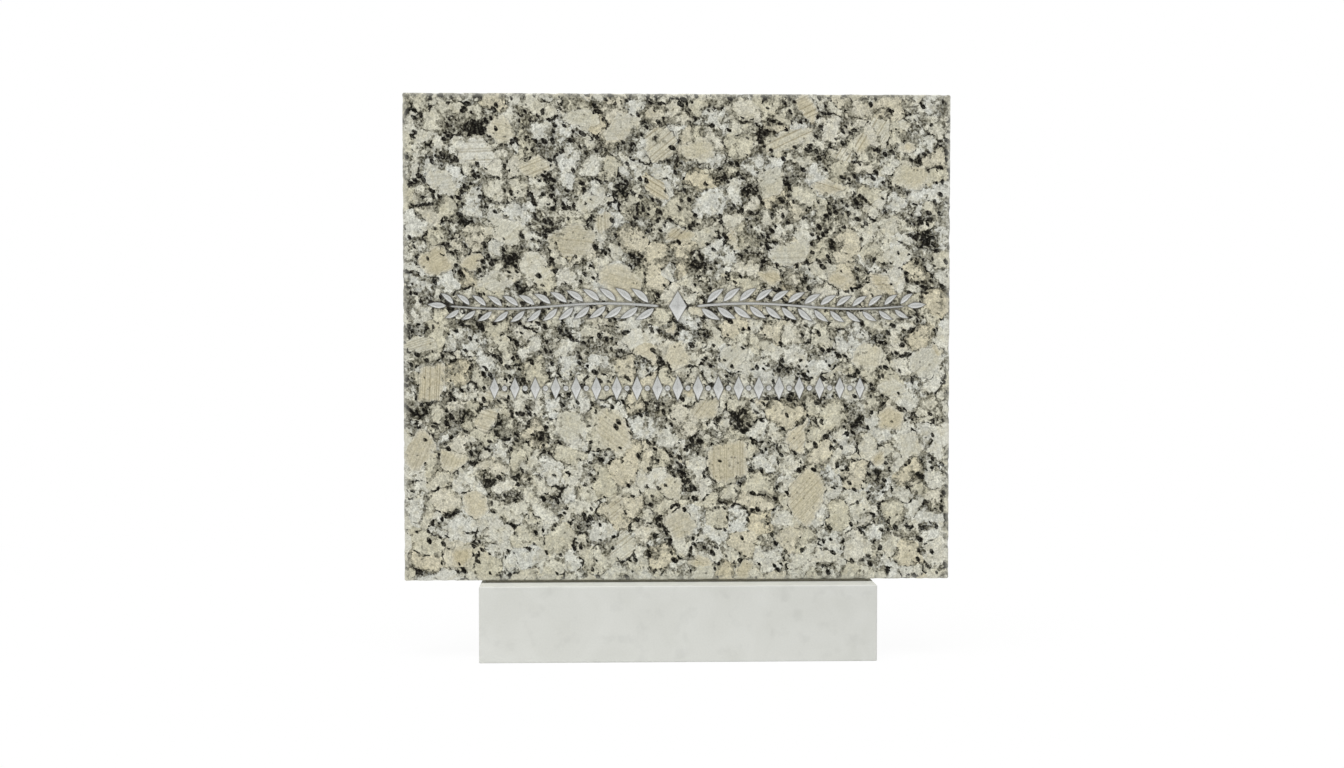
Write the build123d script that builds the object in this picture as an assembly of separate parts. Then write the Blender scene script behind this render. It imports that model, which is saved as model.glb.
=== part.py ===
from build123d import *

import os

# Granite grave marker slab standing upright on a low marble plinth, bedded on setting compound.
# Millimetres, +Z up. The face that carries the carving looks along -Y, and the origin is the
# middle of the plinth's underside.

# Granite slab: carved face and edges worked fine, back left as sawn
slab_width = 450.0
slab_height = 400.0
slab_thickness = 40.0
slab_arris = 1.0  # chamfer on every edge

# Marble plinth: a sawn and honed block, narrower than the slab
plinth_width = 325.0
plinth_height = 62.5
plinth_ledge = 22.0  # top face left clear in front of the slab and behind it
plinth_arris = 1.0  # eased radius on every edge

# Setting bed: a thin layer held back from the faces, so that the joint reads as a dark line
bed_thickness = 2.0
bed_recess = 3.0  # from the slab's two faces
bed_end_gap = 4.0  # from the ends of the plinth

# Places that follow from the sizes above
plinth_depth = slab_thickness + 2 * plinth_ledge
bed_length = min(plinth_width, slab_width) - 2 * bed_end_gap
bed_depth = slab_thickness - 2 * bed_recess
bed_bottom = plinth_height
slab_bottom = plinth_height + bed_thickness


def standing_block(width, depth, height, bottom):
    # A rectangular block centred on the part's upright axis, standing at the given level.
    footing = Plane.XY.offset(bottom)
    return extrude(footing * Rectangle(width, depth), height)


def make_marker_slab():
    slab = standing_block(slab_width, slab_thickness, slab_height, slab_bottom)
    return chamfer(slab.edges(), slab_arris)


def make_plinth_block():
    block = standing_block(plinth_width, plinth_depth, plinth_height, 0)
    return fillet(block.edges(), plinth_arris)


def make_setting_bed():
    return standing_block(bed_length, bed_depth, bed_thickness, bed_bottom)


def main():
    os.makedirs("parts", exist_ok=True)
    pieces = {
        "marker_slab": make_marker_slab(),
        "plinth_block": make_plinth_block(),
        "setting_bed": make_setting_bed(),
    }
    for node, piece in pieces.items():
        piece.label = node
        export_step(piece, f"parts/{node}.step")
        print(node, "volume", round(piece.volume), "mm3")


main()
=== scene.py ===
import functools
import math
import random
from itertools import pairwise

import bmesh
import bpy
import numpy as np
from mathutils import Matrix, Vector, geometry, noise


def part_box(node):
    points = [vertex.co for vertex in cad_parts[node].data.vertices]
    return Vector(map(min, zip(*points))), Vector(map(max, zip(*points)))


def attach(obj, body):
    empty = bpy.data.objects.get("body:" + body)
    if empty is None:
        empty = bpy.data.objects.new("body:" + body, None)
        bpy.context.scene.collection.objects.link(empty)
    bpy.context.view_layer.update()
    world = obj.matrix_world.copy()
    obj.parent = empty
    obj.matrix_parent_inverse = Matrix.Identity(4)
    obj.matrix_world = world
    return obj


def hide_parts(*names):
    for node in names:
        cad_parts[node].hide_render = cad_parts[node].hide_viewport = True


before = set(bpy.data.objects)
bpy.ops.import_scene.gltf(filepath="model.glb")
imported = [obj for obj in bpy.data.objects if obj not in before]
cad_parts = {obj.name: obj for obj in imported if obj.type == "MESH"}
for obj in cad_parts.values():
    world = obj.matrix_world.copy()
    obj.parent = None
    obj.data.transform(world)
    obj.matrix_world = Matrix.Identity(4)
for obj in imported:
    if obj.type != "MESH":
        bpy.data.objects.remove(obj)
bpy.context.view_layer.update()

mm = 0.001  # sizes below are in millimetres where no note says otherwise, the scene is in metres


def linear(hexCode):  # sRGB hex to the linear colour that the shader sockets take
    parts = [int(hexCode[i:i + 2], 16) / 255 for i in (1, 3, 5)]
    return [p / 12.92 if p <= 0.04045 else ((p + 0.055) / 1.055) ** 2.4 for p in parts] + [1.0]


def addNode(tree, kind, wires=(), stops=(), **settings):
    # wires is a list in the order of the sockets, or a dictionary by their names
    # stops are the places and colours of a ramp
    node = tree.nodes.new("ShaderNode" + kind)
    for name, value in settings.items():
        setattr(node, name, value)
    sockets = [s for s in node.inputs if s.enabled]
    for key, value in wires.items() if isinstance(wires, dict) else enumerate(wires):
        target = sockets[key] if isinstance(key, int) else next(s for s in sockets if s.name == key)
        if isinstance(value, bpy.types.Node):
            value = next(o for o in value.outputs if o.enabled)
        if isinstance(value, bpy.types.NodeSocket):
            tree.links.new(value, target)
        else:
            target.default_value = value
    for count, (at, hexCode) in enumerate(stops):
        band = node.color_ramp.elements
        stop = band[count] if count < 2 else band.new(at)
        stop.position, stop.color = at, linear(hexCode)
    return node


def placeInMm(tree):  # the place on the stone in mm, so that a pattern's scale is 1 / its size in mm
    here = addNode(tree, "TexCoord").outputs["Object"]
    return addNode(tree, "VectorMath", {"Vector": here, "Scale": 1 / mm}, operation="SCALE")


def newMaterial(name):
    material = bpy.data.materials.new(name)
    material.use_nodes = True
    material.node_tree.nodes.clear()
    return material, material.node_tree


graniteLook = {
    # pale grains and the mosaic of small chips between them, mm
    "grainSize": 18.0, "chipSize": 6.5,
    "bendSize": 13.0, "bendBy": 11.0,  # how borders wander
    "fraySize": 3.6, "frayBy": 3.2, "nudgeBy": 2.24,  # how ragged they are, and how ragged flecks are
    "feldspar": ((0.0, "#CECAB4"), (0.35, "#D6D4C4"), (0.75, "#D9DAD1"), (1.0, "#D3CBB0")),
    "chipGain": (0.83, 1.07),  # darkest and lightest chip
    # big crystals, mm
    "bigShare": 0.06, "bigInset": 0.5,  # share of pale grains that are big crystals, and border to outline
    "depthReach": 6.0,  # in and out of a placed crystal's outline that its mesh value tells
    "ragged": 1.7, "bulge": 1.6,  # either way that an outline strays, finely and broadly
    "crystalEdge": 0.3,  # either side of an outline, from one mineral to the other
    "cream": ((0.0, "#D6D6CC"), (0.35, "#C3C1B0"), (0.75, "#C2BAA0"), (1.0, "#BBB192")),
    "crystalGain": (0.9, 1.1), "crystalShare": 0.8,  # darkest and lightest one, and how strongly it shows
    "zone": "#DAD9CE", "zoneShare": 0.45, "zoneDepths": (0.4, 3.2),  # paler rim, where it is full and ends
    "crystalSpan": 50.0,  # keeps the streaks of one placed crystal apart from the next one's
    "streaksPerMm": 0.55, "streakSway": 0.9,  # and mm that a streak wanders
    "streak": "#8C8268", "streakLeast": 0.3, "streakShare": 0.75,  # on plain and on streaked crystals
    "seamSize": 11.0, "seamShare": 0.45,  # along a dark seam, and how strong it is
    "seamOut": 0.4, "seamWidths": (0.2, 0.7),  # outside a crystal, and from there to full and faded
    # crowding of the dark minerals, mm and how much each cause adds
    "crowdSize": 15.0, "crowdGain": (-0.07, 0.87),
    "driftSize": 55.0, "driftGain": (-0.1, 0.19),
    "driftShift": (260.0, 270.0, 120.0),  # brings a pale drift to the slab's foot
    "borderReach": 4.0, "borderGain": (0.5, -0.25),  # from a border, and the gain on it and away from it
    "nestRagged": 0.3, "nestGain": 0.95,
    "clearDepths": (-1.0, 2.5), "clearGain": -0.8,  # inside a crystal, where dark minerals thin out and end
    "calmHeights": (110.0, 230.0), "calmGain": (-0.16, 0.04),  # above the ground, calm below, lively above
    # warm clouds and smoky quartz, mm
    "warmSize": 6.0, "warmth": "#BEB698", "warmShare": 0.5,
    "quartzSize": 5.0, "quartzPull": 0.3, "quartzChip": (0.11, -0.07),  # how crowds and chips draw it
    "quartzLevels": (0.645, 0.695),  # where it begins and is full
    "mottleSize": 1.7, "mottleLeast": 0.45,
    "smokeSize": 2.6, "smokePull": 0.15, "quartz": ((0.42, "#A19E8D"), (0.72, "#484537")),
    # black biotite, mm
    "biotite": "#0D0B07", "biotiteEdge": 0.25,  # either side of an outline
    "swellSize": 8.0, "rimWidths": (-0.5, 2.2),  # along a black border, and its width from none to most
    "clotCrowd": (0.92, 1.8), "clotWidths": (-0.6, 1.3),  # clots between chips, from none to widest
    "fleckSizes": ((7.4, 4.4, 4.4), (4.2, 4.2, 6.8)),  # spacing of two sets of flecks, along and across
    "fleckTurns": ((0.3, 0.6, 0.2), (-0.2, -0.45, 0.4)),  # radians, how each set lies
    "fleckCrowd": (0.32, 1.2), "fleckShares": (0.04, 0.56),  # how many there are as crowding grows
    "fleckReach": (0.22, 0.52),  # smallest and largest, as a share of the spacing
    "dotSize": 2.6, "dotCrowd": (0.2, 1.0), "dotShares": (0.06, 0.5),
    "dotReach": (0.2, 0.6), "dotTones": (0.12, 0.75),  # palest and darkest
    "dustSize": 2.2, "dustLeast": 0.74,
    # mottling over everything, mm
    "cloudSize": 2.4, "cloudLow": (0.50, 0.70), "cloudHigh": 1.14,  # low on ground and on crystals
    "speckSize": 1.2, "speckGain": (0.88, 1.10),
}


def makeGraniteGrain(look):
    # Porphyritic granite as a solid pattern: big pale feldspar grains, a mosaic of small ones between them,
    # smoky quartz, and black biotite in flecks, along borders and in clots between the small grains.
    # A MapRange list reads: value, its low and high end, and what these become.
    group = bpy.data.node_groups.new("graniteGrain", "ShaderNodeTree")
    for name, kind in (("Colour", "Color"), ("Dark", "Float"), ("Height", "Float")):
        group.interface.new_socket(name, in_out="OUTPUT", socket_type="NodeSocket" + kind)
    out = group.nodes.new("NodeGroupOutput")
    add = functools.partial(addNode, group)

    # the place, and the same place bent and frayed
    place = placeInMm(group)
    bend = add("TexNoise", {"Vector": place, "Scale": 1 / look["bendSize"]})
    fray = add("TexNoise", {"Vector": place, "Scale": 1 / look["fraySize"],
                            "Detail": 3.0, "Roughness": 0.6})
    middle = (0.5,) * 3  # of a noise's colour
    bendAside = add("VectorMath", [bend.outputs["Color"], middle], operation="SUBTRACT")
    frayAside = add("VectorMath", [fray.outputs["Color"], middle], operation="SUBTRACT")
    bent = add("VectorMath", [bendAside, (look["bendBy"],) * 3, place], operation="MULTIPLY_ADD")
    frayed = add("VectorMath", [frayAside, (look["frayBy"],) * 3, bent], operation="MULTIPLY_ADD")
    nudged = add("VectorMath", [frayAside, (look["nudgeBy"],) * 3, place], operation="MULTIPLY_ADD")

    # pale grains and the mosaic between them, with the way to their borders in mm
    grainCells = {"Vector": frayed, "Scale": 1 / look["grainSize"]}
    grain = add("TexVoronoi", grainCells)
    grainPick = add("SeparateColor", [grain.outputs["Color"]])
    grainEdge = add("TexVoronoi", grainCells, feature="DISTANCE_TO_EDGE")
    grainGap = add("Math", [grainEdge, look["grainSize"]], operation="MULTIPLY")
    chipCells = {"Vector": frayed, "Scale": 1 / look["chipSize"]}
    chip = add("TexVoronoi", chipCells)
    chipPick = add("SeparateColor", [chip.outputs["Color"]])
    chipEdge = add("TexVoronoi", chipCells, feature="DISTANCE_TO_EDGE")
    chipGap = add("Math", [chipEdge, look["chipSize"]], operation="MULTIPLY")

    # big crystals: those at known places on the stone, and some of the pale grains anywhere
    deep, soft = look["depthReach"], look["crystalEdge"]
    inside = add("Attribute", attribute_name="crystalInside")
    placedDepth = add("MapRange", [inside.outputs["Fac"], 0.0, 1.0, -deep, deep])
    grainIsBig = add("Math", [grainPick.outputs[2], look["bigShare"]], operation="LESS_THAN")
    grainLift = add("Math", [grainGap, deep - look["bigInset"]], operation="ADD")
    grainDepth = add("Math", [grainIsBig, grainLift, -deep], operation="MULTIPLY_ADD")
    ragged = add("MapRange", [fray, 0.2, 0.8, -look["ragged"], look["ragged"]])
    bulge = add("MapRange", [bend, 0.25, 0.75, -look["bulge"], look["bulge"]])
    uneven = add("Math", [ragged, bulge], operation="ADD")
    depth = add("Math", [placedDepth, grainDepth], operation="MAXIMUM")
    crystalDepth = add("Math", [depth, uneven], operation="ADD")
    crystal = add("MapRange", [crystalDepth, -soft, soft, 0.0, 1.0])
    ground = add("Math", [1.0, crystal], operation="SUBTRACT")

    # dark nests at known places
    nest = add("Attribute", attribute_name="biotiteNest")
    nestRagged = add("MapRange", [fray, 0.2, 0.8, -look["nestRagged"], look["nestRagged"]])
    nestDepth = add("Math", [nest.outputs["Fac"], nestRagged], operation="ADD")

    # crowding: where quartz and biotite gather, in drifts, along borders and in nests
    crowdNoise = add("TexNoise", {"Vector": place, "Scale": 1 / look["crowdSize"],
                                  "Detail": 3.0, "Roughness": 0.55})
    patchCrowd = add("MapRange", [crowdNoise, 0.3, 0.7, *look["crowdGain"]])
    driftPlace = add("VectorMath", [place, look["driftShift"]], operation="ADD")
    drift = add("TexNoise", {"Vector": driftPlace, "Scale": 1 / look["driftSize"]})
    driftCrowd = add("MapRange", [drift, 0.35, 0.65, *look["driftGain"]])
    borderCrowd = add("MapRange", [grainGap, 0.0, look["borderReach"], *look["borderGain"]])
    nestCrowd = add("MapRange", [nestDepth, 0.22, 0.78, 0.0, look["nestGain"]])
    crystalCrowd = add("MapRange", [crystalDepth, *look["clearDepths"], 0.0, look["clearGain"]])
    looseCrowd = add("Math", [patchCrowd, borderCrowd], operation="ADD")
    placedCrowd = add("Math", [nestCrowd, crystalCrowd], operation="ADD")
    nearCrowd = add("Math", [looseCrowd, placedCrowd], operation="ADD")
    height = add("SeparateXYZ", [place]).outputs["Z"]
    calm = add("MapRange", [height, *look["calmHeights"], *look["calmGain"]])
    farCrowd = add("Math", [driftCrowd, calm], operation="ADD")
    crowd = add("Math", [nearCrowd, farCrowd], operation="ADD")

    # pale ground: each grain its own tone, each chip a little lighter or darker
    feldspar = add("ValToRGB", [grainPick.outputs[1]], stops=look["feldspar"])
    chipGain = add("MapRange", [chipPick.outputs[1], 0.0, 1.0, *look["chipGain"]])
    mosaic = add("VectorMath", {"Vector": feldspar, "Scale": chipGain}, operation="SCALE")

    # big crystals: white to beige, each a little lighter or darker, with a paler rim
    placedTone = add("Attribute", attribute_name="crystalTone")
    isGrain = add("Math", [grainDepth, placedDepth], operation="GREATER_THAN")
    crystalTone = add("Mix", [isGrain, placedTone.outputs["Fac"], grainPick], data_type="FLOAT")
    cream = add("ValToRGB", [crystalTone], stops=look["cream"])
    across = add("Attribute", attribute_name="crystalAcross")
    crystalCount = add("Math", [across.outputs["Fac"], look["crystalSpan"]], operation="DIVIDE")
    crystalNumber = add("Math", [crystalCount], operation="ROUND")
    crystalPick = add("TexWhiteNoise", {"W": crystalNumber}, noise_dimensions="1D")
    crystalGain = add("MapRange", [crystalPick, 0.0, 1.0, *look["crystalGain"]])
    creamOwn = add("VectorMath", {"Vector": cream, "Scale": crystalGain}, operation="SCALE")
    zone = add("MapRange", [crystalDepth, *look["zoneDepths"], look["zoneShare"], 0.0])
    zoned = add("Mix", [zone, creamOwn, linear(look["zone"])], data_type="RGBA")
    crystalShare = add("Math", [crystal, look["crystalShare"]], operation="MULTIPLY")
    pale = add("Mix", [crystalShare, mosaic, zoned], data_type="RGBA")

    # fine parallel streaks in the big crystals
    streakAt = add("Math", [fray, look["streakSway"], across.outputs["Fac"]], operation="MULTIPLY_ADD")
    streakNoise = add("TexNoise", {"W": streakAt, "Scale": look["streaksPerMm"], "Detail": 2.0},
                      noise_dimensions="1D")
    streakGiven = add("Attribute", attribute_name="crystalStreak")
    streakPart = add("MapRange", [streakGiven.outputs["Fac"], 0.0, 1.0, look["streakLeast"], 1.0])
    streakHere = add("Math", [streakPart, crystal], operation="MULTIPLY")
    streakLine = add("MapRange", [streakNoise, 0.50, 0.62, 0.0, look["streakShare"]])
    streak = add("Math", [streakHere, streakLine], operation="MULTIPLY")
    streaked = add("Mix", [streak, pale, linear(look["streak"])], data_type="RGBA")

    # warm clouding
    warm = add("TexNoise", {"Vector": place, "Scale": 1 / look["warmSize"],
                            "Detail": 3.0, "Roughness": 0.6})
    warmPart = add("MapRange", [warm, 0.45, 0.75, 0.0, look["warmShare"]])
    warmed = add("Mix", [warmPart, streaked, linear(look["warmth"])], data_type="RGBA")

    # smoky quartz: soft patches, and whole chips of the mosaic where it is crowded
    quartzNoise = add("TexNoise", {"Vector": nudged, "Scale": 1 / look["quartzSize"],
                                   "Detail": 3.0, "Roughness": 0.6})
    quartzLift = add("Math", [crowd, look["quartzPull"], quartzNoise], operation="MULTIPLY_ADD")
    quartzChip = add("MapRange", [chipPick, 0.0, 0.6, *look["quartzChip"]])
    quartzOver = add("Math", [quartzLift, quartzChip], operation="ADD")
    quartzSoft = add("MapRange", [quartzOver, *look["quartzLevels"], 0.0, 1.0])
    quartzMottle = add("TexNoise", {"Vector": place, "Scale": 1 / look["mottleSize"]})
    quartzShare = add("MapRange", [quartzMottle, 0.36, 0.58, look["mottleLeast"], 1.0])
    quartz = add("Math", [quartzSoft, quartzShare], operation="MULTIPLY")
    smoke = add("TexNoise", {"Vector": place, "Scale": 1 / look["smokeSize"]})
    smokeDepth = add("Math", [crowd, look["smokePull"], smoke], operation="MULTIPLY_ADD")
    quartzTone = add("ValToRGB", [smokeDepth], stops=look["quartz"])
    greyed = add("Mix", [quartz, warmed, quartzTone], data_type="RGBA")

    # black biotite: rims that swell and taper along borders
    crisp = look["biotiteEdge"]
    swell = add("TexNoise", {"Vector": place, "Scale": 1 / look["swellSize"]})
    rimWidth = add("MapRange", [swell, 0.52, 0.78, *look["rimWidths"]])
    rimLeft = add("Math", [grainGap, rimWidth], operation="SUBTRACT")
    rimBand = add("MapRange", [rimLeft, -crisp, crisp, 1.0, 0.0])
    skirtOver = add("Math", [crystalDepth, rimWidth], operation="ADD")
    skirtBand = add("MapRange", [skirtOver, -crisp, crisp, 0.0, 1.0])
    rimOrSkirt = add("Math", [rimBand, skirtBand], operation="MAXIMUM")
    rim = add("Math", [rimOrSkirt, ground], operation="MULTIPLY")

    # clots that fill the gaps between the chips of a nest
    clotWidth = add("MapRange", [crowd, *look["clotCrowd"], *look["clotWidths"]])
    clotLeft = add("Math", [chipGap, clotWidth], operation="SUBTRACT")
    clot = add("MapRange", [clotLeft, -crisp, crisp, 1.0, 0.0])
    black = add("Math", [rim, clot], operation="MAXIMUM")

    # two sets of flecks, lying two ways
    for size, turn in zip(look["fleckSizes"], look["fleckTurns"]):
        lain = add("Mapping", {"Vector": nudged, "Rotation": turn, "Scale": size}, vector_type="TEXTURE")
        fleck = add("TexVoronoi", {"Vector": lain, "Scale": 1.0})
        fleckPick = add("SeparateColor", [fleck.outputs["Color"]])
        fleckShare = add("MapRange", [crowd, *look["fleckCrowd"], *look["fleckShares"]])
        fleckHere = add("Math", [fleckPick, fleckShare], operation="LESS_THAN")
        fleckReach = add("MapRange", [fleckPick.outputs[1], 0.0, 1.0, *look["fleckReach"]])
        fleckLeft = add("Math", [fleck, fleckReach], operation="SUBTRACT")
        fleckDisc = add("MapRange", [fleckLeft, -0.05, 0.04, 1.0, 0.0])
        fleckTone = add("Math", [fleckHere, fleckDisc], operation="MULTIPLY")
        black = add("Math", [black, fleckTone], operation="MAXIMUM")

    # small dots, grey to black
    dot = add("TexVoronoi", {"Vector": nudged, "Scale": 1 / look["dotSize"]})
    dotPick = add("SeparateColor", [dot.outputs["Color"]])
    dotShare = add("MapRange", [crowd, *look["dotCrowd"], *look["dotShares"]])
    dotHere = add("Math", [dotPick, dotShare], operation="LESS_THAN")
    dotReach = add("MapRange", [dotPick.outputs[1], 0.0, 1.0, *look["dotReach"]])
    dotLeft = add("Math", [dot, dotReach], operation="SUBTRACT")
    dotDisc = add("MapRange", [dotLeft, -0.12, 0.1, 1.0, 0.0])
    dotDepth = add("MapRange", [dotPick.outputs[2], 0.0, 1.0, *look["dotTones"]])
    dotTone = add("Math", [dotDisc, dotDepth], operation="MULTIPLY")
    dots = add("Math", [dotHere, dotTone], operation="MULTIPLY")

    # hairline seams round the big crystals
    seamSwell = add("TexNoise", {"Vector": place, "Scale": 1 / look["seamSize"]})
    seamShare = add("MapRange", [seamSwell, 0.44, 0.64, 0.0, look["seamShare"]])
    seamOff = add("Math", [crystalDepth, look["seamOut"]], operation="ADD")
    seamGap = add("Math", [seamOff], operation="ABSOLUTE")
    seamLine = add("MapRange", [seamGap, *look["seamWidths"], 1.0, 0.0])
    seam = add("Math", [seamLine, seamShare], operation="MULTIPLY")

    # all that is dark, dusted over a little
    dust = add("TexNoise", {"Vector": place, "Scale": 1 / look["dustSize"]})
    dustShare = add("MapRange", [dust, 0.32, 0.55, look["dustLeast"], 1.0])
    dusty = add("Math", [black, dustShare], operation="MULTIPLY")
    fine = add("Math", [dots, seam], operation="MAXIMUM")
    dark = add("Math", [dusty, fine], operation="MAXIMUM")
    blackened = add("Mix", [dark, greyed, linear(look["biotite"])], data_type="RGBA")

    # mottling, darker on the ground than on the big crystals, and a fine speckle over everything
    cloud = add("TexNoise", {"Vector": place, "Scale": 1 / look["cloudSize"],
                             "Detail": 4.0, "Roughness": 0.85})
    cloudLow = add("MapRange", [crystal, 0.0, 1.0, *look["cloudLow"]])
    cloudGain = add("MapRange", [cloud, 0.27, 0.62, cloudLow, look["cloudHigh"]])
    speck = add("TexNoise", {"Vector": place, "Scale": 1 / look["speckSize"], "Detail": 1.0})
    speckGain = add("MapRange", [speck, 0.25, 0.75, *look["speckGain"]])
    gain = add("Math", [cloudGain, speckGain], operation="MULTIPLY")
    final = add("VectorMath", {"Vector": blackened, "Scale": gain}, operation="SCALE")
    for name, node in (("Colour", final), ("Dark", dark), ("Height", speck)):
        group.links.new(node.outputs[0], out.inputs[name])
    return group


graniteGrain = makeGraniteGrain(graniteLook)
print("granite grain made")

honedLook = {
    "roughness": (0.46, 0.38),  # of the pale minerals and of the black ones
    "bump": 0.1,  # mm
    "bruiseAndHighlight": "#D3D2C8", "bruiseAndHighlightShare": 0.4,  # pale band along the slab's edges: bruised stone, and a painted highlight where the edges catch light
    "paintedShade": "#3F3D36", "paintedShadeShare": 0.6,  # painted shade: a dark line on the stone round the cuts
}


def makeHonedGranite(look):
    # Light granite, honed: matt, the grain crisp, hardly any reflection.
    material, tree = newMaterial("honedGranite")
    grain = addNode(tree, "Group", node_tree=graniteGrain)
    rough = addNode(tree, "MapRange", [grain.outputs["Dark"], 0.0, 1.0, *look["roughness"]])
    bump = addNode(tree, "Bump", {"Height": grain.outputs["Height"], "Strength": 0.15,
                                  "Distance": look["bump"] * mm})
    # pale band along the slab's edges: part bruised stone, part painted highlight where the edges catch
    # light
    edge = addNode(tree, "Attribute", attribute_name="edgeBruiseAndHighlight")
    bruiseAndHighlight = addNode(tree, "MapRange", [edge.outputs["Fac"], 0.0, 1.0, 0.0, look["bruiseAndHighlightShare"]])
    bruisedAndHighlighted = addNode(tree, "Mix", [bruiseAndHighlight, grain.outputs["Colour"], linear(look["bruiseAndHighlight"])],
                      data_type="RGBA")
    # painted shade: the stone darkened in a line round the carved cuts
    shade = addNode(tree, "Attribute", attribute_name="cutShade")
    paintedShade = addNode(tree, "MapRange", [shade.outputs["Fac"], 0.2, 1.0, 0.0, look["paintedShadeShare"]])
    withPaintedShade = addNode(tree, "Mix", [paintedShade, bruisedAndHighlighted, linear(look["paintedShade"])], data_type="RGBA")
    shader = addNode(tree, "BsdfPrincipled", {"Base Color": withPaintedShade, "Roughness": rough, "Normal": bump,
                                              "IOR": 1.53, "Specular IOR Level": 0.05})
    addNode(tree, "OutputMaterial", {"Surface": shader})
    return material


sawnLook = {
    "dust": "#B9B7AD", "dustShare": 0.22,
    "bladeStep": 18.0, "bladeDepth": 0.4,  # mm, from one blade mark to the next, and how deep
}


def makeSawnGranite(look):
    # The same granite straight from the saw: paler, dusty, with faint blade marks.
    material, tree = newMaterial("sawnGranite")
    grain = addNode(tree, "Group", node_tree=graniteGrain)
    dusted = addNode(tree, "Mix", [look["dustShare"], grain.outputs["Colour"], linear(look["dust"])],
                     data_type="RGBA")
    bandStep = math.pi / 10  # from band to band of a wave at scale 1
    marks = addNode(tree, "TexWave", {"Vector": placeInMm(tree), "Scale": bandStep / look["bladeStep"],
                                      "Distortion": 3.0, "Detail": 3.0, "Detail Scale": 2.0},
                    bands_direction="Z")
    bump = addNode(tree, "Bump", {"Height": marks, "Strength": 0.3, "Distance": look["bladeDepth"] * mm})
    shader = addNode(tree, "BsdfPrincipled", {"Base Color": dusted, "Roughness": 0.75, "Normal": bump,
                                              "IOR": 1.53, "Specular IOR Level": 0.2})
    addNode(tree, "OutputMaterial", {"Surface": shader})
    return material


tintLook = {
    "flakeSize": 0.8,  # mm, drawn coarser than the real flake so that it shows
    "tones": ((0.3, "#C9CAC8"), (0.7, "#E0E1DE")),
    "roughness": (0.42, 0.55),
    "lipShade": "#3A3934", "lipShadeShare": 0.85,  # dark line where the lacquer meets the stone: the lacquer's dark edge, and painted shade of the groove's edge
    "lipReach": (-0.1, 0.3), "lipRagged": 0.5,  # mm inside a cut where it is full and ends, and strays
}


def makeSilverTint(look):
    # Silver-grey lacquer brushed into the carved grooves: satin, with a very fine flake.
    material, tree = newMaterial("silverTint")
    place = placeInMm(tree)
    flake = addNode(tree, "TexNoise", {"Vector": place, "Scale": 1 / look["flakeSize"], "Detail": 2.0})
    tone = addNode(tree, "ValToRGB", [flake], stops=look["tones"])
    inside = addNode(tree, "Attribute", attribute_name="cutInside")
    # dark line just inside each groove's edge: the lacquer's edge, and painted shade of the cut
    uneven = addNode(tree, "Math", [flake, -look["lipRagged"], inside.outputs["Fac"]],
                     operation="MULTIPLY_ADD")
    lipShade = addNode(tree, "MapRange", [uneven, *look["lipReach"], look["lipShadeShare"], 0.0])
    lipShaded = addNode(tree, "Mix", [lipShade, tone, linear(look["lipShade"])], data_type="RGBA")
    rough = addNode(tree, "MapRange", [flake, 0.3, 0.7, *look["roughness"]])
    shader = addNode(tree, "BsdfPrincipled", {"Base Color": lipShaded, "Roughness": rough,
                                              "Specular IOR Level": 0.2})
    addNode(tree, "OutputMaterial", {"Surface": shader})
    return material


marbleLook = {
    "cloudSize": 38.0, "tones": ((0.3, "#CFD0CA"), (0.7, "#D6D7D2")),  # mm, faint clouds
    "smudgeSize": 13.0, "smudgeGain": 0.94,  # mm, small grey smudges
    "sugarSize": 1.4, "sugarGain": (0.975, 1.025), "bump": 0.1,  # mm, fine grain
    "sideLightReach": 160.0, "sideLightGain": (1.04, 0.975),  # mm either way from the middle, painted light: paler at the left end and darker at the right
}


def makeHonedMarble(look):
    # Pale grey-white marble, sawn and honed: even, with faint clouds, a few smudges and a sugary grain.
    material, tree = newMaterial("honedMarble")
    place = placeInMm(tree)
    cloud = addNode(tree, "TexNoise", {"Vector": place, "Scale": 1 / look["cloudSize"],
                                       "Detail": 4.0, "Distortion": 0.8})
    tone = addNode(tree, "ValToRGB", [cloud], stops=look["tones"])
    along = addNode(tree, "SeparateXYZ", [place]).outputs["X"]
    # painted light: the block paler at the left end and darker at the right, as from light falling more
    # from the left
    fade = addNode(tree, "MapRange", [along, -look["sideLightReach"], look["sideLightReach"], *look["sideLightGain"]])
    sugar = addNode(tree, "TexNoise", {"Vector": place, "Scale": 1 / look["sugarSize"], "Detail": 1.0})
    sugarGain = addNode(tree, "MapRange", [sugar, 0.2, 0.8, *look["sugarGain"]])
    smudge = addNode(tree, "TexNoise", {"Vector": place, "Scale": 1 / look["smudgeSize"], "Detail": 2.0})
    smudgeGain = addNode(tree, "MapRange", [smudge, 0.56, 0.72, 1.0, look["smudgeGain"]])
    evenGain = addNode(tree, "Math", [fade, sugarGain], operation="MULTIPLY")
    gain = addNode(tree, "Math", [evenGain, smudgeGain], operation="MULTIPLY")
    final = addNode(tree, "VectorMath", {"Vector": tone, "Scale": gain}, operation="SCALE")
    bump = addNode(tree, "Bump", {"Height": sugar, "Strength": 0.1, "Distance": look["bump"] * mm})
    shader = addNode(tree, "BsdfPrincipled", {"Base Color": final, "Roughness": 0.5, "Normal": bump,
                                              "IOR": 1.5, "Specular IOR Level": 0.3})
    addNode(tree, "OutputMaterial", {"Surface": shader})
    return material


compoundLook = {
    "gritSize": 0.9, "bump": 0.3,  # mm, sand grains, and how far they stand out
    "tones": ((0.3, "#7A776A"), (0.7, "#959282")),
}


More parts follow.
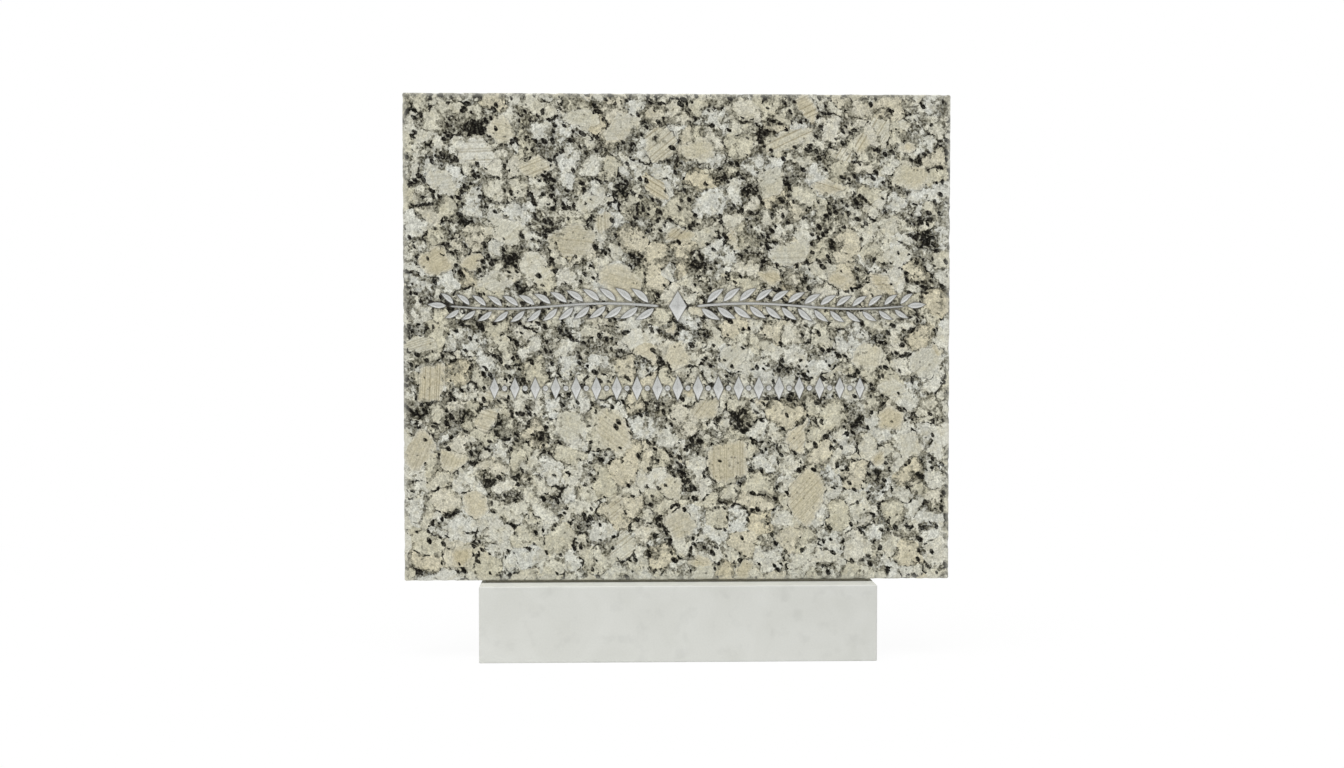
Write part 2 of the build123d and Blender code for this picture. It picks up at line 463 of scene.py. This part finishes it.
def makeSettingCompound(look):
    # Grey-brown setting compound, squeezed and left to cure: dull and gritty.
    material, tree = newMaterial("settingCompound")
    place = placeInMm(tree)
    grit = addNode(tree, "TexNoise", {"Vector": place, "Scale": 1 / look["gritSize"], "Detail": 3.0})
    tone = addNode(tree, "ValToRGB", [grit], stops=look["tones"])
    bump = addNode(tree, "Bump", {"Height": grit, "Strength": 0.4, "Distance": look["bump"] * mm})
    shader = addNode(tree, "BsdfPrincipled", {"Base Color": tone, "Roughness": 0.85, "Normal": bump})
    addNode(tree, "OutputMaterial", {"Surface": shader})
    return material


honedGranite = makeHonedGranite(honedLook)
sawnGranite = makeSawnGranite(sawnLook)
silverTint = makeSilverTint(tintLook)
honedMarble = makeHonedMarble(marbleLook)
settingCompound = makeSettingCompound(compoundLook)
print("materials made")

# Carved ornament: V-cuts, each an outline with the ridge lines of its floor
carving = {
    "slope": 0.9,  # depth of a cut for each mm from its outline
    # a garland of leaves either side of a lozenge, mm
    "garlandHeight": 226.0, "garlandReach": 206.0,  # above the slab's foot, and from the middle to its ends
    "garlandLozenge": (15.0, 26.0),  # wide and high
    "stemStart": 15.0, "stemRoom": 18.0,  # from the middle, and left for the leaf at the end
    "stemWave": 2.2, "stemWidths": (2.3, 1.5), "stemSteps": 60,
    "leafPairs": 13, "leafSizes": (19.0, 14.0),  # from the middle to the end
    "leafShare": 0.31, "leafSplay": 0.62, "leafBow": 0.9,  # width to length, radians off the stem, mm
    "leafGap": 1.9, "leafStagger": 2.5,  # off the stem, and along it either way on the two sides
    "endLeaf": (1.5, 17.5), "endLeafWidth": 5.0,  # along the stem, from where it ends
    # a chain of lozenges and dots, mm
    "chainHeight": 158.5, "chainReach": 159.0,
    "chainCount": 9, "chainTaper": 0.15,  # lozenges either side of the middle, and how they shrink
    "chainLozenge": (9.5, 22.0), "chainDot": 2.4,  # wide and high, and a dot's radius
}


def leafCut(base, tip, width, bow=0.0, steps=9, lean=0.85, fullness=0.9):
    along = tip - base
    side = Vector((-along.y, along.x)).normalized()
    middle, left, right = [], [], []
    for i in range(steps + 1):
        t = i / steps
        point = base + along * t + side * bow * 4 * t * (1 - t)
        middle.append(point)
        if 0 < i < steps:
            reach = width / 2 * math.sin(math.pi * t ** lean) ** fullness
            left.append(point + side * reach)
            right.append(point - side * reach)
    outline = [middle[0]] + right + [middle[-1]] + left[::-1]
    return outline, list(pairwise(middle))


def lozengeCut(centre, width, height):
    middle = Vector(centre)
    ways = ((-width / 2, 0), (0, -height / 2), (width / 2, 0), (0, height / 2))
    outline = [middle + Vector(way) for way in ways]
    return outline, [(middle, tip) for tip in outline]


def dotCut(centre, radius, sides=14):
    middle = Vector(centre)
    angles = [2 * math.pi * i / sides for i in range(sides)]
    outline = [middle + radius * Vector((math.cos(angle), math.sin(angle))) for angle in angles]
    return outline, [(middle, tip) for tip in outline]


def stemCut(points, widths):
    left, right = [], []
    for i, (point, width) in enumerate(zip(points, widths)):
        along = (points[min(i + 1, len(points) - 1)] - points[max(i - 1, 0)]).normalized()
        side = Vector((-along.y, along.x))
        left.append(point + side * width / 2)
        right.append(point - side * width / 2)
    outline = [points[0]] + right[1:-1] + [points[-1]] + left[1:-1][::-1]
    return outline, list(pairwise(points))


def garlandCuts(look, height):
    start = look["stemStart"]
    run = look["garlandReach"] - start - look["stemRoom"]
    wide, slim = look["stemWidths"]
    big, small = look["leafSizes"]
    steps, pairs, splay = look["stemSteps"], look["leafPairs"], look["leafSplay"]
    bit = 0.01  # share of the stem over which its direction is taken

    def stemAt(hand, t):
        return Vector((hand * (start + run * t), height + look["stemWave"] * math.sin(2 * math.pi * t)))

    cuts = [lozengeCut((0, height), *look["garlandLozenge"])]
    for hand in (-1, 1):
        points = [stemAt(hand, i / steps) for i in range(steps + 1)]
        widths = [wide + (slim - wide) * i / steps for i in range(1, steps)]
        cuts.append(stemCut(points, [0.0] + widths + [0.0]))
        for i in range(pairs):
            t = (i + 0.5) / pairs
            size = big + (small - big) * t
            ahead = (stemAt(hand, min(t + bit, 1)) - stemAt(hand, t - bit)).normalized()
            for side in (-1, 1):
                lift = Vector((-ahead.y, ahead.x)) * side * hand
                heading = (ahead * math.cos(splay) + lift * math.sin(splay)).normalized()
                base = stemAt(hand, t) + lift * look["leafGap"] + ahead * look["leafStagger"] * side
                bow = look["leafBow"] * side * hand
                cuts.append(leafCut(base, base + heading * size, size * look["leafShare"], bow))
        end = stemAt(hand, 1.0)
        ahead = (end - stemAt(hand, 1 - 2 * bit)).normalized()
        base, tip = [end + ahead * way for way in look["endLeaf"]]
        cuts.append(leafCut(base, tip, look["endLeafWidth"]))
    return cuts


def chainCuts(look, height):
    cuts = []
    count = look["chainCount"]
    pitch = look["chainReach"] / (count + 0.5)
    wide, high = look["chainLozenge"]
    for i in range(-count, count + 1):
        taper = 1 - look["chainTaper"] * abs(i) / count
        cuts.append(lozengeCut((i * pitch, height), wide * taper, high * taper))
        if i < count:
            cuts.append(dotCut(((i + 0.5) * pitch, height), look["chainDot"]))
    return cuts


def distanceToOutline(point, outline):
    best = math.inf
    for a, b in zip(outline, outline[1:] + outline[:1]):
        near, t = geometry.intersect_point_line(point, a, b)
        near = a if t < 0 else b if t > 1 else near
        best = min(best, (Vector(point[:2]) - Vector(near[:2])).length)
    return best


def pointInside(point, outline):
    inside = False
    for a, b in zip(outline, outline[1:] + outline[:1]):
        if (a.y > point.y) != (b.y > point.y):
            if point.x < (b.x - a.x) * (point.y - a.y) / (b.y - a.y) + a.x:
                inside = not inside
    return inside


slabLook = {
    "arris": 1.0, "hair": 0.01,  # mm, as the solid's chamfer, and what a point on it may be off
    "step": 2.5, "backStep": 2,  # mm, grid that carries the crystals' places, by twos at the back
    "edgeStep": 1.25,  # mm, steps along the edges
    "cutRoom": 0.8,  # mm round a cut that the grid keeps clear
    "decimals": 3, "joinReach": 0.001,  # of a mm, so that neighbouring faces share their corner points
    "wear": 0.35, "wearSize": 2.4,  # mm, how far every edge is rubbed down, and from dip to dip
    "chip": 1.3, "chipSize": 7.0,  # mm, the same for the small, rarer chips
    "chipLevel": 0.05, "chipShift": 40.0,  # of the noise that says where they are
    "wearReach": 6.0, "bruiseAndHighlightReach": 4.5,  # mm from an edge that wear goes, and the pale band of bruising and painted highlight
    "faceShare": 0.25,  # of the wear that goes into the face, most goes into the outline
}


def wearEdges(mesh, look, low, high):
    # points near an edge sink into the stone, most at the edge and where a chip has gone
    bruiseAndHighlight = mesh.verts.layers.float.new("edgeBruiseAndHighlight")
    chipShift = Vector((look["chipShift"], 0, 0))
    for vert in mesh.verts:
        gaps = [min(vert.co[i] - low[i], high[i] - vert.co[i]) for i in range(3)]
        order = sorted(range(3), key=lambda i: gaps[i])
        toEdge = gaps[order[1]]
        # pale band at the edges: bruised stone and a painted highlight
        vert[bruiseAndHighlight] = max(0.0, 1 - toEdge / look["bruiseAndHighlightReach"])
        if toEdge >= look["wearReach"]:
            continue
        dip = 0.5 + 0.5 * noise.noise(vert.co / look["wearSize"])
        chip = max(0.0, noise.noise(vert.co / look["chipSize"] + chipShift) - look["chipLevel"])
        sink = (look["wear"] * dip + look["chip"] * chip) * (1 - toEdge / look["wearReach"])
        onArris = toEdge < look["arris"] + look["hair"]
        for i in order[:2] if onArris else order[:1]:
            part = look["faceShare"] if i == 1 else 1.0
            vert.co[i] += sink * part if vert.co[i] < (low[i] + high[i]) / 2 else -sink * part


def gridUnderCuts(xs, zs, cuts, room):
    # grid points that lie in a cut or close beside it
    under = set()
    for outline, _ in cuts:
        x0, x1 = min(p.x for p in outline) - room, max(p.x for p in outline) + room
        z0, z1 = min(p.y for p in outline) - room, max(p.y for p in outline) + room
        for i in [i for i, x in enumerate(xs) if x0 < x < x1]:
            for j in [j for j, z in enumerate(zs) if z0 < z < z1]:
                point = Vector((xs[i], zs[j]))
                if pointInside(point, outline) or distanceToOutline(point, outline) < room:
                    under.add((i, j))
    return under


def fillFace(border, grid, cuts, joinReach):
    # triangles of a flat face, whether each is in a cut, and how far inside a cut each point lies
    points = [Vector(p) for p in border]
    loops = [list(range(len(points)))]
    edges = []
    for outline, ridges in cuts:
        loops.append(list(range(len(points), len(points) + len(outline))))
        points += outline
        for ridge in ridges:
            edges.append((len(points), len(points) + 1))
            points += ridge
    points += grid
    filled = geometry.delaunay_2d_cdt(points, edges, loops, 0, joinReach)
    flat, triangles, owners = filled[0], filled[2], filled[5]
    inside = [None] * len(flat)
    for triangle, owner in zip(triangles, owners):
        for index in owner:
            if index > 0:
                for v in triangle:
                    inside[v] = max(inside[v] or 0.0, distanceToOutline(flat[v], cuts[index - 1][0]))
    kept = [(triangle, max(owner) > 0) for triangle, owner in zip(triangles, owners) if 0 in owner]
    return flat, kept, inside


def makeSlab(look):
    low, high = [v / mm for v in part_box("marker_slab")]
    arris = look["arris"]
    mesh = bmesh.new()
    known = {}
    cutShade = mesh.verts.layers.float.new("cutShade")
    cutInside = mesh.verts.layers.float.new("cutInside")

    def corner(*place):  # faces that meet share their corner points
        key = tuple(round(v, look["decimals"]) for v in place)
        if key not in known:
            known[key] = mesh.verts.new(key)
        return known[key]

    def steps(a, b, size):
        count = max(1, round((b - a) / size))
        return [round(a + (b - a) * i / count, look["decimals"]) for i in range(count + 1)]

    xs = steps(low.x + arris, high.x - arris, look["step"])
    ys = steps(low.y + arris, high.y - arris, look["step"])
    zs = steps(low.z + arris, high.z - arris, look["step"])
    edgeXs = steps(xs[0], xs[-1], look["edgeStep"])
    edgeZs = steps(zs[0], zs[-1], look["edgeStep"])
    frontY, backY = low.y, high.y

    # sides, top and underside as strips of the grid
    for x, flip in ((low.x, False), (high.x, True)):
        for y0, y1 in pairwise(ys):
            for z0, z1 in pairwise(edgeZs):
                ring = [corner(x, y0, z0), corner(x, y0, z1), corner(x, y1, z1), corner(x, y1, z0)]
                mesh.faces.new(ring[::-1] if flip else ring)
    for z, flip in ((low.z, True), (high.z, False)):
        for x0, x1 in pairwise(edgeXs):
            for y0, y1 in pairwise(ys):
                ring = [corner(x0, y0, z), corner(x1, y0, z), corner(x1, y1, z), corner(x0, y1, z)]
                mesh.faces.new(ring[::-1] if flip else ring)
    # arrises along x, z and y, and the corners where they meet
    for y, yIn in ((frontY, ys[0]), (backY, ys[-1])):
        for z, zIn in ((low.z, zs[0]), (high.z, zs[-1])):
            for x0, x1 in pairwise(edgeXs):
                ring = [corner(x0, y, zIn), corner(x1, y, zIn), corner(x1, yIn, z), corner(x0, yIn, z)]
                mesh.faces.new(ring)
        for x, xIn in ((low.x, xs[0]), (high.x, xs[-1])):
            for z0, z1 in pairwise(edgeZs):
                ring = [corner(xIn, y, z0), corner(xIn, y, z1), corner(x, yIn, z1), corner(x, yIn, z0)]
                mesh.faces.new(ring)
    for x, xIn in ((low.x, xs[0]), (high.x, xs[-1])):
        for z, zIn in ((low.z, zs[0]), (high.z, zs[-1])):
            for y0, y1 in pairwise(ys):
                ring = [corner(x, y0, zIn), corner(x, y1, zIn), corner(xIn, y1, z), corner(xIn, y0, z)]
                mesh.faces.new(ring)
            for y, yIn in ((frontY, ys[0]), (backY, ys[-1])):
                mesh.faces.new([corner(xIn, y, zIn), corner(x, yIn, zIn), corner(xIn, yIn, z)])

    # carved face and sawn back, both filled from their border, grid and cuts
    border = ([(x, zs[0]) for x in edgeXs[:-1]] + [(xs[-1], z) for z in edgeZs[:-1]]
              + [(x, zs[-1]) for x in edgeXs[:0:-1]] + [(xs[0], z) for z in edgeZs[:0:-1]])
    cuts = garlandCuts(carving, low.z + carving["garlandHeight"])
    cuts += chainCuts(carving, low.z + carving["chainHeight"])
    under = gridUnderCuts(xs, zs, cuts, look["cutRoom"])
    finishes = (honedGranite, sawnGranite, silverTint)
    honed, sawn, tint = range(len(finishes))
    for y, step, faceCuts, hidden, finish in ((frontY, 1, cuts, under, honed),
                                              (backY, look["backStep"], [], set(), sawn)):
        grid = [Vector((xs[i], zs[j])) for i in range(step, len(xs) - 1, step)
                for j in range(step, len(zs) - 1, step) if (i, j) not in hidden]
        flat, triangles, inside = fillFace(border, grid, faceCuts, look["joinReach"])
        for triangle, isCut in triangles:
            sunk = [y + carving["slope"] * (inside[v] or 0.0) for v in triangle]
            ring = [corner(flat[v].x, depth, flat[v].y) for v, depth in zip(triangle, sunk)]
            for v, made in zip(triangle, ring):
                made[cutShade], made[cutInside] = float(inside[v] is not None), inside[v] or 0.0
            if len(set(ring)) == 3:
                mesh.faces.new(ring).material_index = tint if isCut else finish
    bmesh.ops.recalc_face_normals(mesh, faces=mesh.faces)
    wearEdges(mesh, look, low, high)
    bmesh.ops.scale(mesh, vec=(mm,) * 3, verts=mesh.verts)
    data = bpy.data.meshes.new("graniteSlab")
    mesh.to_mesh(data)
    mesh.free()
    for material in finishes:
        data.materials.append(material)
    slab = bpy.data.objects.new("graniteSlab", data)
    bpy.context.scene.collection.objects.link(slab)
    print("slab built:", len(data.vertices), "points,", len(data.polygons), "faces")
    return slab


crystalLook = {
    "cornerTurn": 0.25, "cornerCuts": (0.5, 0.74),  # how corners are cut off, radians and share of the box
    "depthShare": 0.5,  # of a crystal's width, how far it goes into the stone
    "streakLean": 0.8,  # radians either way from its length
    "nestFade": 0.8,  # how fast a nest thins out
}
# Big crystals as they lie on the carved face: x and height above the slab's foot, length, width,
# turn in degrees, tone from white 0 to beige 1, and how strongly they are streaked
crystalPlaces = [
    (-165, 352, 30, 25, 0, 0.05, 0.5), (-193, 327, 26, 20, -30, 0.15, 0),
    (-145, 370, 26, 23, 0, 0.6, 0), (-117, 340, 28, 16, 0, 0.6, 0.5), (-45, 373, 36, 20, 30, 0.25, 0),
    (-14, 358, 30, 26, 80, 0.5, 0.8), (-18, 323, 30, 13, -43, 0.85, 1), (-72, 311, 40, 16, 8, 0.25, 0),
    (-80, 380, 32, 18, 0, 0.35, 0), (17, 353, 28, 22, 0, 0.55, 0), (92, 363, 42, 17, 27, 0.55, 0.8),
    (77, 328, 28, 22, 60, 0.35, 0), (124, 324, 30, 14, 0, 0.75, 0.8), (151, 359, 20, 14, 80, 0.6, 0.8),
    (196, 331, 24, 20, 20, 0.6, 0), (190, 357, 15, 9, 10, 0.8, 0), (-198, 262, 30, 24, -10, 0.85, 0.1),
    (-140, 287, 38, 24, 0, 0.3, 0), (-149, 246, 30, 17, 0, 0.2, 0), (-118, 257, 26, 26, 0, 0.25, 0),
    (-87, 280, 40, 27, 0, 0.55, 0.3), (-47, 247, 36, 27, -15, 0.65, 0),
    (-73, 235, 20, 14, 70, 0.4, 0.7), (0, 284, 26, 12, 10, 0.9, 0.9), (-61, 294, 18, 16, 60, 0.6, 0.5),
    (-29, 200, 36, 17, 5, 0.1, 0), (76, 249, 22, 13, -6, 0.95, 0.4), (92, 270, 34, 24, 30, 0.35, 0),
    (134, 248, 21, 16, 0, 0.75, 0), (170, 244, 28, 13, -40, 0.75, 0.5), (181, 268, 26, 20, 0, 0.25, 0),
    (-202, 163, 36, 27, 55, 0.75, 0.8), (-157, 132, 24, 17, 15, 0.65, 0.5),
    (-212, 108, 34, 27, 80, 0.7, 0.1), (-212, 194, 30, 15, 0, 0.4, 0.5), (-89, 128, 24, 26, 0, 0.35, 0),
    (-54, 124, 38, 27, -60, 0.55, 0.2), (0, 185, 24, 22, 60, 0.6, 0), (23, 141, 28, 18, 38, 0.7, 0.7),
    (42, 98, 40, 36, 60, 0.75, 0.3), (46, 186, 24, 21, 80, 0.3, 0), (10, 156, 15, 11, 20, 1, 0),
    (178, 132, 26, 22, 30, 0.85, 0.1), (157, 185, 26, 22, 40, 0.5, 0), (192, 111, 26, 23, 70, 0.25, 0),
    (175, 158, 30, 16, 0, 0.3, 0), (205, 179, 28, 26, 0, 0.25, 0), (-178, 19, 20, 18, 45, 1, 0),
    (-148, 40, 26, 20, 0, 0.15, 0), (-190, 5, 20, 9, 0, 0.05, 0), (-15, 85, 24, 20, 60, 0.1, 0),
    (-52, 61, 22, 16, 80, 0.6, 0.6), (3, 46, 30, 26, 70, 0.55, 0.1), (106, 68, 46, 29, 80, 0.7, 0.4),
    (19, 14, 23, 11, -8, 0.75, 0), (165, 99, 16, 11, 70, 0.9, 0.9),
]
# Nests of biotite between them: x, height above the slab's foot, half width and half height
nestPlaces = [
    (-168, 372, 10, 7), (-188, 346, 7, 6), (-41, 355, 7, 7), (-45, 323, 6, 10), (-34, 306, 7, 5),
    (70, 365, 7, 8), (62, 321, 10, 5), (90, 322, 4, 10), (35, 332, 8, 6), (149, 312, 8, 5),
    (170, 386, 9, 5), (-135, 265, 9, 6), (-211, 206, 10, 6), (-188, 228, 8, 5), (-128, 240, 7, 5),
    (-175, 296, 9, 4), (-36, 267, 7, 7), (-93, 205, 8, 6), (15, 255, 7, 10), (62, 266, 11, 6),
    (20, 203, 11, 6), (25, 225, 11, 8), (205, 283, 11, 7), (123, 293, 5, 8), (131, 276, 7, 5),
    (124, 228, 6, 6), (-174, 136, 11, 6), (-167, 108, 5, 8), (-146, 131, 6, 6), (-213, 137, 9, 4),
    (-113, 118, 8, 5), (51, 134, 8, 9), (88, 172, 7, 5), (147, 134, 6, 8), (-155, 84, 9, 7),
    (-137, 70, 10, 5), (-186, 56, 6, 3), (-16, 48, 3, 7), (-21, 22, 6, 4), (1, 88, 6, 5),
    (12, 75, 7, 3), (40, 64, 7, 3), (70, 34, 7, 3), (20, 26, 5, 4), (165, 88, 4, 7), (197, 86, 7, 3),
    (205, 43, 6, 3),
]


def placeCrystals(slab, look):
    # outlines of crystals and nests go onto the mesh as point values, which the granite's nodes read
    low, high = [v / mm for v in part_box("marker_slab")]
    size = high - low
    points = np.array([v.co for v in slab.data.vertices]) / mm
    x, back, z = points[:, 0], points[:, 1] - low.y, points[:, 2] - low.z
    behind = back > size.y / 2  # the back half has the same crystals, turned upside down
    x, back, z = np.where(behind, (-x, size.y - back, size.z - z), (x, back, z))
    best = np.full(len(points), -np.inf)
    tone, across, streak = np.zeros((3, len(points)))
    for count, (cx, cz, length, width, degrees, shade, lines) in enumerate(crystalPlaces):
        draw = random.Random(count)
        turn = math.radians(degrees)
        u = (x - cx) * math.cos(turn) + (z - cz) * math.sin(turn)
        v = -(x - cx) * math.sin(turn) + (z - cz) * math.cos(turn)
        outside = back - width * look["depthShare"]
        sides = [(k * math.pi / 2, length / 2 if k % 2 == 0 else width / 2) for k in range(4)]
        for k in range(4):
            diagonal = math.atan2(length, width) * (1 if k % 2 else -1) + (math.pi if k > 1 else 0)
            angle = diagonal + draw.uniform(-look["cornerTurn"], look["cornerTurn"])
            box = abs(math.cos(angle)) * length / 2 + abs(math.sin(angle)) * width / 2
            sides.append((angle, box * draw.uniform(*look["cornerCuts"])))
        for angle, reach in sides:
            outside = np.maximum(outside, u * math.cos(angle) + v * math.sin(angle) - reach)
        lean = draw.uniform(-look["streakLean"], look["streakLean"])
        along = v * math.cos(lean) + u * math.sin(lean) + graniteLook["crystalSpan"] * count
        nearer = -outside > best
        best = np.where(nearer, -outside, best)
        tone = np.where(nearer, shade, tone)
        across = np.where(nearer, along, across)
        streak = np.where(nearer, lines, streak)
    dark = np.zeros(len(points))
    for cx, cz, wide, tall in nestPlaces:
        reach = ((x - cx) / wide) ** 2 + ((z - cz) / tall) ** 2 + (back / min(wide, tall)) ** 2
        dark = np.maximum(dark, np.exp(-look["nestFade"] * reach))
    inside = np.clip(best / (2 * graniteLook["depthReach"]) + 0.5, 0, 1)
    values = {"crystalInside": inside, "crystalTone": tone, "crystalAcross": across,
              "crystalStreak": streak, "biotiteNest": dark}
    for name, value in values.items():
        layer = slab.data.attributes.new(name, "FLOAT", "POINT")
        layer.data.foreach_set("value", value.astype(np.float32))
    print("crystals placed:", len(crystalPlaces), "and", len(nestPlaces), "nests, on face and back")


slab = makeSlab(slabLook)
placeCrystals(slab, crystalLook)
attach(slab, "root")
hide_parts("marker_slab")

for node, material in (("plinth_block", honedMarble), ("setting_bed", settingCompound)):
    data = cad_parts[node].data
    data.materials.clear()
    data.materials.append(material)
print("plinth and setting bed dressed")

# Studio: pale floor, white surround and one large, far softbox in front, high and a little to the left
studio = {
    "white": "#FFFFFF",
    "surround": 0.576,  # share of white that lights the stone
    "softbox": 1.97,  # watts a square metre on what faces it
    "softboxWidth": 36.0, "softboxTurn": -18.0, "softboxLift": 72.0,  # degrees
    "floorReach": 6.0,  # metres either way
    "floorTone": "#F2F2F2",
    "floorGlow": (0.95, 1.0),  # share of white that the camera sees on the floor, near the stone and far
    "glowReach": (0.35, 1.1),  # metres from the stone where that change begins and ends
}


def seenItself(tree):  # 1 where the camera sees the studio itself, straight, mirrored or through glass
    ray = addNode(tree, "LightPath").outputs
    mirrored = addNode(tree, "Math", [ray["Is Camera Ray"], ray["Is Glossy Ray"]], operation="MAXIMUM")
    return addNode(tree, "Math", [mirrored, ray["Is Transmission Ray"]], operation="MAXIMUM")


def makeStudio(look):
    world = bpy.data.worlds.new("studioSurround")
    bpy.context.scene.world = world
    world.use_nodes = True
    tree = world.node_tree
    tree.nodes.clear()
    strength = addNode(tree, "MapRange", [seenItself(tree), 0.0, 1.0, look["surround"], 1.0])
    glow = addNode(tree, "Background", {"Color": linear(look["white"]), "Strength": strength})
    addNode(tree, "OutputWorld", {"Surface": glow})

    # Paper floor, matt: it keeps the shadow, and the camera sees it nearly white.
    material, tree = newMaterial("paperFloor")
    here = addNode(tree, "TexCoord").outputs["Object"]
    away = addNode(tree, "VectorMath", [here], operation="LENGTH").outputs["Value"]
    fade = addNode(tree, "MapRange", [away, *look["glowReach"], *look["floorGlow"]])
    part = addNode(tree, "Math", [seenItself(tree), fade], operation="MULTIPLY")
    matt = addNode(tree, "BsdfDiffuse", {"Color": linear(look["floorTone"])})
    glow = addNode(tree, "Emission", {"Color": linear(look["white"]), "Strength": 1.0})
    blend = addNode(tree, "MixShader", [part, matt, glow])
    addNode(tree, "OutputMaterial", {"Surface": blend})
    data = bpy.data.meshes.new("floor")
    reach = look["floorReach"]
    corners = [(-reach, -reach, 0), (reach, -reach, 0), (reach, reach, 0), (-reach, reach, 0)]
    data.from_pydata(corners, [], [(0, 1, 2, 3)])
    data.materials.append(material)
    floor = bpy.data.objects.new("floor", data)
    bpy.context.scene.collection.objects.link(floor)

    lamp = bpy.data.lights.new("softbox", "SUN")
    lamp.energy, lamp.angle = look["softbox"], math.radians(look["softboxWidth"])
    softbox = bpy.data.objects.new("softbox", lamp)
    tilt, turn = math.radians(90 - look["softboxLift"]), math.radians(look["softboxTurn"])
    softbox.rotation_euler = (tilt, 0.0, turn)
    bpy.context.scene.collection.objects.link(softbox)


cameraLook = {
    "place": (-56.9, -1555.3, 277.9),  # mm
    "turn": -1.945, "down": 1.92,  # degrees
    "lens": 50.0, "sensor": 36.0,  # mm
}


def makeCamera(look):
    data = bpy.data.cameras.new("photoCamera")
    data.lens, data.sensor_width = look["lens"], look["sensor"]
    camera = bpy.data.objects.new("photoCamera", data)
    camera.location = Vector(look["place"]) * mm
    camera.rotation_euler = (math.radians(90 - look["down"]), 0.0, math.radians(look["turn"]))
    bpy.context.scene.collection.objects.link(camera)
    bpy.context.scene.camera = camera


makeStudio(studio)
makeCamera(cameraLook)
bpy.context.scene.view_settings.view_transform = "Standard"
print("studio and camera placed")
